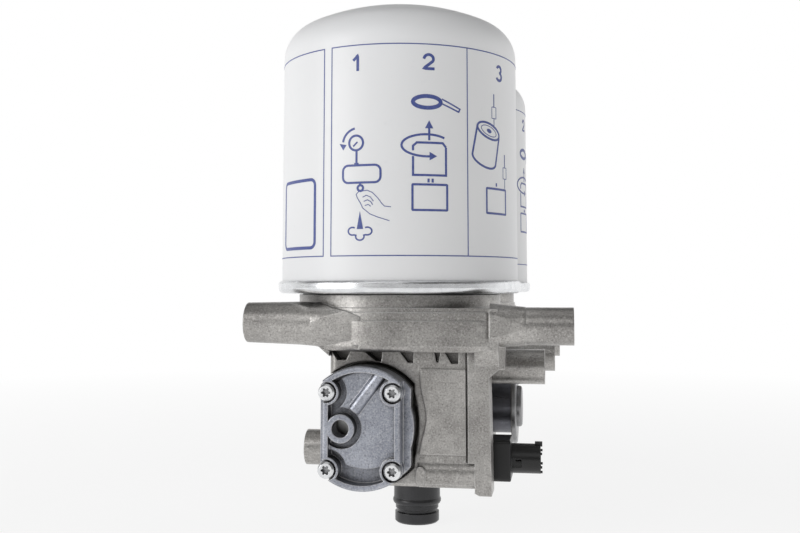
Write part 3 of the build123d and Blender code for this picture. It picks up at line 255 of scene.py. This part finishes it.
def granules():
    g = Graph("desiccant")
    grain = g.cells(420.0)
    tint = g.cells(420.0, "Color")
    shade = g.add("ShaderNodeSeparateXYZ", {"Vector": tint}).outputs[0]
    colour = g.mix(shade, rgb(0.62, 0.60, 0.55), rgb(0.80, 0.78, 0.73))
    colour = g.mix(g.spread(grain, 0.35, 0.75), colour, rgb(0.20, 0.19, 0.17))
    normal = g.bump(g.spread(grain, 0.0, 0.8, 1.0, 0.0), 0.0009)
    return g.finish(Base_Color=colour, Roughness=0.85, Normal=normal)


def felt():
    g = Graph("felt")
    fibre = g.noise(1.0, 6.0, 0.75, g.stretched((1600.0, 700.0, 1600.0)))
    wide = g.noise(90.0, 3.0)
    colour = g.mix(g.spread(fibre, 0.3, 0.7), rgb(0.52, 0.50, 0.45), rgb(0.70, 0.68, 0.62))
    colour = g.mix(g.spread(wide, 0.5, 0.8, 0.0, 0.3), colour, rgb(0.40, 0.38, 0.34))
    normal = g.bump(fibre, 0.0003)
    return g.finish(Base_Color=colour, Roughness=0.95, Normal=normal)


def ink():
    g = Graph("print_ink")
    patch = g.noise(500.0, 4.0, 0.7)
    colour = g.mix(g.spread(patch, 0.4, 0.75), rgb(0.062, 0.088, 0.29), rgb(0.12, 0.15, 0.37))
    rough = g.spread(patch, 0.3, 0.7, 0.38, 0.5)
    return g.finish(Base_Color=colour, Roughness=rough, Normal=g.bump(patch, 0.00001, 0.3))


finishes = {
    "canister_paint": canister_paint(),
    "bright_zinc": bright_zinc(),
    "sheet_steel": turned_metal("sheet_steel", rgb(0.58, 0.58, 0.57), rgb(0.44, 0.44, 0.43), 0.30),
    "spring_steel": turned_metal("spring_steel", rgb(0.42, 0.42, 0.43), rgb(0.30, 0.30, 0.31), 0.26),
    "black_rubber": moulded("black_rubber", rgb(0.020, 0.020, 0.021), rgb(0.010, 0.010, 0.011), 0.55),
    "felt": felt(),
    "desiccant": granules(),
    "cast_housing": cast_metal("cast_housing", rgb(0.50, 0.485, 0.465), rgb(0.32, 0.308, 0.295), rgb(0.30, 0.288, 0.275)),
    "cast_cover": cast_metal("cast_cover", rgb(0.46, 0.48, 0.54), rgb(0.30, 0.315, 0.365), rgb(0.28, 0.295, 0.345)),
    "turned_aluminium": turned_metal("turned_aluminium", rgb(0.66, 0.65, 0.63), rgb(0.52, 0.515, 0.50), 0.28),
    "brass": turned_metal("brass", rgb(0.64, 0.47, 0.22), rgb(0.48, 0.34, 0.15), 0.26),
    "copper_wire": turned_metal("copper_wire", rgb(0.66, 0.30, 0.16), rgb(0.50, 0.21, 0.10), 0.30),
    "charcoal_plastic": moulded("charcoal_plastic", rgb(0.034, 0.034, 0.038), rgb(0.016, 0.016, 0.018), 0.24),
    "black_plastic": moulded("black_plastic", rgb(0.012, 0.012, 0.013), rgb(0.006, 0.006, 0.006), 0.26),
}
ink_material = ink()
regulator_finish = regulator_metal()

for name, piece in nodes.items():
    for held in piece.material_slots:
        held.material = finishes[held.material.name.split(".")[0]]
        if name in ("regulator_sleeve", "regulator_plug"):
            held.material = regulator_finish


# Printed label.

shell_low, shell_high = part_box("front_cartridge_shell")
shell_radius = (shell_high.x - shell_low.x) / 2.0
print_rise = 0.10 * mm
print_sink = 0.15 * mm
front_axis = ((shell_high.x + shell_low.x) / 2.0, (shell_high.y + shell_low.y) / 2.0)
back_low, back_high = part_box("rear_cartridge_shell")
back_axis = ((back_high.x + back_low.x) / 2.0, (back_high.y + back_low.y) / 2.0)


def finer(points, step=1.2):
    """The same line with a point at least every step."""
    made = [points[0]]
    for (x0, y0), (x1, y1) in zip(points, points[1:]):
        count = max(1, math.ceil(math.hypot(x1 - x0, y1 - y0) / step))
        for k in range(1, count + 1):
            made.append((x0 + (x1 - x0) * k / count, y0 + (y1 - y0) * k / count))
    return made


def ellipse(cx, cy, rx, ry, start=0.0, end=360.0, turn=0.0, count=28):
    made = []
    tilt = math.radians(turn)
    for k in range(count + 1):
        a = math.radians(start + (end - start) * k / count)
        x = rx * math.cos(a)
        y = ry * math.sin(a)
        made.append((cx + x * math.cos(tilt) - y * math.sin(tilt), cy + x * math.sin(tilt) + y * math.cos(tilt)))
    return made


def round_box(x0, y0, x1, y1, r):
    made = []
    corners = [(x1 - r, y1 - r, 0.0), (x0 + r, y1 - r, 90.0), (x0 + r, y0 + r, 180.0), (x1 - r, y0 + r, 270.0)]
    for cx, cy, a in corners:
        made += ellipse(cx, cy, r, r, a, a + 90.0, 0.0, 5)
    return made + [made[0]]


def stroke_sides(points, width):
    """The two edges of a stroke that follows the points, mitred at its corners."""
    closed = math.dist(points[0], points[-1]) < 1e-6
    body = points[:-1] if closed else points
    count = len(body)
    left = []
    right = []
    for k in range(count):
        x, y = body[k]
        before = body[k - 1] if closed or k > 0 else None
        after = body[(k + 1) % count] if closed or k < count - 1 else None
        directions = []
        if before is not None:
            directions.append((x - before[0], y - before[1]))
        if after is not None:
            directions.append((after[0] - x, after[1] - y))
        normals = []
        for dx, dy in directions:
            size = math.hypot(dx, dy)
            normals.append((-dy / size, dx / size))
        nx = sum(n[0] for n in normals) / len(normals)
        ny = sum(n[1] for n in normals) / len(normals)
        size = max(nx * nx + ny * ny, 0.3)
        left.append((x + nx / size * width / 2.0, y + ny / size * width / 2.0))
        right.append((x - nx / size * width / 2.0, y - ny / size * width / 2.0))
    return left, right, closed


class Print:
    """Thin raised ink on a canister, laid out flat as arc length and height in millimetres."""

    def __init__(self, axis, turn):
        self.axis = axis
        self.turn = turn
        self.mesh = bmesh.new()

    def point(self, u, z, radius):
        angle = (u + self.turn) * mm / shell_radius
        return (self.axis[0] + radius * math.sin(angle), self.axis[1] - radius * math.cos(angle), z * mm)

    def pair(self, where):
        low = self.mesh.verts.new(self.point(*where, shell_radius - print_sink))
        high = self.mesh.verts.new(self.point(*where, shell_radius + print_rise))
        return low, high

    def line(self, points, width):
        left, right, closed = stroke_sides(finer(points), width)
        lefts = [self.pair(p) for p in left]
        rights = [self.pair(p) for p in right]
        count = len(left)
        add = self.mesh.faces.new
        for k in range(count if closed else count - 1):
            n = (k + 1) % count
            (al, ah), (bl, bh) = lefts[k], lefts[n]
            (cl, ch), (dl, dh) = rights[k], rights[n]
            add((ah, ch, dh, bh))
            add((al, bl, dl, cl))
            add((al, ah, bh, bl))
            add((cl, dl, dh, ch))
        if not closed:
            for k, flip in ((0, False), (count - 1, True)):
                (al, ah), (cl, ch) = lefts[k], rights[k]
                add((al, cl, ch, ah) if not flip else (al, ah, ch, cl))

    def blob(self, points):
        """A filled shape, as a fan round its middle."""
        ring = finer(points + [points[0]])[:-1]
        cx = sum(p[0] for p in ring) / len(ring)
        cy = sum(p[1] for p in ring) / len(ring)
        middle = self.pair((cx, cy))
        rim = [self.pair(p) for p in ring]
        count = len(ring)
        for k in range(count):
            n = (k + 1) % count
            self.mesh.faces.new((middle[1], rim[k][1], rim[n][1]))
            self.mesh.faces.new((middle[0], rim[n][0], rim[k][0]))
            self.mesh.faces.new((rim[k][0], rim[n][0], rim[n][1], rim[k][1]))

    def make(self, name):
        bmesh.ops.recalc_face_normals(self.mesh, faces=self.mesh.faces)
        data = bpy.data.meshes.new(name)
        self.mesh.to_mesh(data)
        self.mesh.free()
        data.materials.append(ink_material)
        piece = bpy.data.objects.new(name, data)
        scene.collection.objects.link(piece)
        return piece


def draw_label(page, first, last):
    thin = 0.55
    fine = 0.38
    bold = 1.15
    heavy = 1.5
    # Frame lines and dividers.
    page.line([(first, 147.5), (-32.3, 147.5), (-32.3, 36.5), (first, 36.5)], thin)
    page.line([(last, 36.5), (-27.2, 36.5), (-27.2, 147.5), (last, 147.5)], thin)
    page.line([(48.7, 36.5), (48.7, 147.5)], thin)
    # Numerals.
    page.line([(-14.2, 139.3), (-12.4, 140.9), (-11.6, 142.2), (-11.6, 133.6)], heavy)
    page.line([(23.6, 139.6)] + ellipse(26.3, 139.6, 2.5, 2.3, 165.0, -35.0)[2:]
              + [(23.4, 134.4), (29.4, 134.4)], heavy)
    page.line(ellipse(74.2, 139.4, 2.1, 1.9, 160.0, -80.0) + ellipse(74.2, 135.5, 2.5, 2.1, 80.0, -160.0), heavy)
    # Step one: let the pressure out.
    page.line(ellipse(-12.4, 95.4, 3.9, 3.9), bold)
    page.line([(-14.0, 93.6), (-11.6, 95.9)], 0.8)
    page.line(ellipse(-11.0, 95.0, 9.0, 8.3, 104.0, 172.0), bold)
    page.blob([(-22.0, 95.4), (-17.9, 94.6), (-19.8, 91.9)])
    page.line([(-12.1, 91.4), (-12.1, 84.6)], bold)
    page.line([(-12.1, 84.9), (-12.1, 83.4)], 2.4)
    page.line(round_box(-19.9, 74.5, 0.9, 83.6, 3.0), bold)
    page.line([(-10.1, 74.2), (-10.1, 72.9)], bold)
    page.line(ellipse(-9.9, 71.6, 1.5, 1.5), bold)
    page.line([(-10.6, 70.0), (-12.2, 68.4), (-11.6, 66.6), (-9.6, 63.4), (-8.6, 61.2), (-4.6, 58.0),
               (-0.6, 56.4), (5.6, 54.4)], fine)
    page.line([(-8.9, 70.0), (-6.2, 70.4), (-3.4, 69.2), (-0.6, 66.4), (1.6, 63.4), (3.0, 62.0), (6.4, 61.6)], fine)
    page.line([(-8.6, 66.8), (-6.6, 67.8), (-4.4, 66.8), (-2.8, 64.6)], fine)
    page.line([(-8.0, 64.6), (-6.0, 65.4), (-4.2, 64.4), (-3.2, 62.8)], fine)
    page.line([(-7.4, 62.4), (-5.6, 63.0), (-4.2, 62.0)], fine)
    page.blob([(-10.1, 59.6), (-8.3, 50.3), (-11.8, 50.3)])
    page.line(ellipse(-14.2, 49.2, 2.4, 2.0, 60.0, 290.0) + ellipse(-10.1, 46.4, 2.3, 1.9, 160.0, 380.0)
              + ellipse(-6.0, 49.2, 2.4, 2.0, -110.0, 120.0), 0.8)
    # Step two: turn the canister off and lift it.
    page.line(ellipse(25.3, 116.7, 7.5, 3.1), 2.1)
    page.line([(33.4, 118.6), (44.0, 113.9), (43.2, 112.3), (33.8, 116.0)], 0.75)
    page.line([(26.4, 96.5), (26.4, 103.4)], bold)
    page.blob([(26.4, 107.0), (24.2, 102.8), (28.6, 102.8)])
    page.line(ellipse(25.2, 93.8, 13.4, 5.8, 45.0, 277.0), bold)
    page.blob([(30.6, 88.2), (26.6, 90.4), (26.6, 86.0)])
    page.line([(35.6, 93.0), (35.6, 78.2), (17.8, 78.2), (17.8, 88.0)], bold)
    page.line([(17.8, 91.0), (17.8, 93.4), (19.8, 95.2), (33.8, 95.2), (35.6, 93.0)], bold)
    page.line([(26.0, 76.4), (26.0, 74.4)], bold)
    page.line([(28.2, 76.4), (28.2, 74.4)], bold)
    page.line(round_box(17.5, 60.0, 36.2, 73.3, 0.3), bold)
    # Step three: grease the seal, fit the new one.
    page.line([(55.6, 106.9), (52.0, 91.4)], bold)
    page.line([(73.6, 101.4), (69.8, 85.4)], bold)
    page.line(ellipse(64.6, 104.3, 9.3, 4.0, 0.0, 360.0, -15.0), bold)
    page.line(ellipse(64.6, 104.3, 6.4, 2.5, 0.0, 360.0, -15.0), fine)
    page.line(ellipse(60.9, 88.6, 9.3, 4.0, 180.0, 360.0, -17.0), bold)
    page.blob(ellipse(64.6, 104.3, 2.0, 1.1, 0.0, 360.0, -15.0, 14)[:-1])
    for x, top in ((68.9, 125.0), (79.6, 92.8)):
        page.line([(x, top), (x, top - 7.2)], 0.7)
        page.line(round_box(x - 1.9, top - 13.4, x + 1.9, top - 7.2, 0.3), fine)
        page.line([(x, top - 13.4), (x, top - 18.8)], fine)
    page.line(round_box(62.2, 59.8, 80.4, 73.2, 0.3), bold)
    page.line([(70.6, 74.6), (70.6, 76.4)], bold)


front_print = Print(front_axis, 0.0)
draw_label(front_print, -98.0, 112.0)
front_print.line(round_box(-72.0, 41.2, -38.7, 77.8, 3.2), 1.7)
front_piece = front_print.make("front_label_print")
back_print = Print(back_axis, 68.0)
draw_label(back_print, -98.0, 112.0)
back_piece = back_print.make("rear_label_print")
for piece in (front_piece, back_piece):
    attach(piece, "dryer")


# Floor, world and light.

floor_height = cad_box[0][2] - 0.4 * mm


def floor_material():
    g = Graph("studio_floor")
    grain = g.noise(60.0, 3.0)
    colour = g.mix(g.spread(grain, 0.3, 0.7), rgb(0.86, 0.86, 0.86), rgb(0.88, 0.88, 0.88))
    matte = g.add("ShaderNodeBsdfDiffuse", {"Color": colour, "Roughness": 0.4})
    glow = g.add("ShaderNodeEmission", {"Color": rgb(1.0, 1.0, 1.0), "Strength": 1.0})
    span = g.add("ShaderNodeVectorMath", {0: g.place}, operation="LENGTH").outputs["Value"]
    away = g.spread(span, 0.25, 1.1)
    factor = g.math("ADD", g.math("MULTIPLY", away, 0.15), 0.85)
    mixed = g.add("ShaderNodeMixShader", {0: factor, 1: matte.outputs[0], 2: glow.outputs[0]})
    g.tree.links.new(mixed.outputs[0], g.output.inputs["Surface"])
    return g.material


floor_mesh = bmesh.new()
bmesh.ops.create_circle(floor_mesh, cap_ends=True, cap_tris=False, segments=96, radius=12.0)
floor_data = bpy.data.meshes.new("floor")
floor_mesh.to_mesh(floor_data)
floor_mesh.free()
floor_data.materials.append(floor_material())
floor = bpy.data.objects.new("floor", floor_data)
floor.location = (0.0, 0.1, floor_height)
scene.collection.objects.link(floor)

world = bpy.data.worlds.new("studio")
scene.world = world
world.use_nodes = True
tree = world.node_tree
tree.nodes.clear()
def sky_node(kind, first, second=None, **settings):
    made = tree.nodes.new(kind)
    for key, value in settings.items():
        setattr(made, key, value)
    tree.links.new(first, made.inputs[0])
    if second is not None:
        tree.links.new(second, made.inputs[1])
    return made


def sky_spread(value, low, high):
    made = sky_node("ShaderNodeMapRange", value, interpolation_type="SMOOTHSTEP")
    made.inputs["From Min"].default_value = low
    made.inputs["From Max"].default_value = high
    return made.outputs["Result"]


# The studio is white round the object, dimmer overhead and in front, where the viewer stands.
world_out = tree.nodes.new("ShaderNodeOutputWorld")
sky = tree.nodes.new("ShaderNodeTexCoord").outputs["Generated"]
directions = sky_node("ShaderNodeSeparateXYZ", sky).outputs
low_enough = sky_spread(directions[2], 0.66, 0.34)
far_enough = sky_spread(directions[1], -0.30, 0.55)
wall = sky_node("ShaderNodeMath", low_enough, far_enough, operation="MULTIPLY").outputs[0]
tone = sky_node("ShaderNodeMapRange", wall)
tone.inputs["To Min"].default_value = 0.16
tone.inputs["To Max"].default_value = 1.0
backdrop = tree.nodes.new("ShaderNodeBackground")
backdrop.inputs["Color"].default_value = rgb(1.0, 1.0, 1.0)
tree.links.new(tone.outputs["Result"], backdrop.inputs["Strength"])
tree.links.new(backdrop.outputs[0], world_out.inputs["Surface"])


def softbox(name, place, target, width, height, power):
    data = bpy.data.lights.new(name, "AREA")
    data.shape = "RECTANGLE"
    data.size = width
    data.size_y = height
    data.energy = power
    lamp = bpy.data.objects.new(name, data)
    scene.collection.objects.link(lamp)
    lamp.location = place
    reach = [t - p for t, p in zip(target, place)]
    flat = math.hypot(reach[0], reach[1])
    lamp.rotation_euler = (math.atan2(flat, -reach[2]), 0.0, math.atan2(reach[1], reach[0]) - math.pi / 2.0)
    return lamp


softbox("key_left", (-1.25, -0.95, 0.35), (0.0, 0.05, 0.03), 1.0, 0.9, 9.0)
softbox("front", (-0.35, -1.40, 1.05), (0.0, 0.05, 0.03), 1.6, 0.9, 4.5)
softbox("top", (0.0, 0.0, 1.5), (0.0, 0.1, 0.0), 1.2, 1.2, 2.0)

scene.view_settings.view_transform = "Standard"
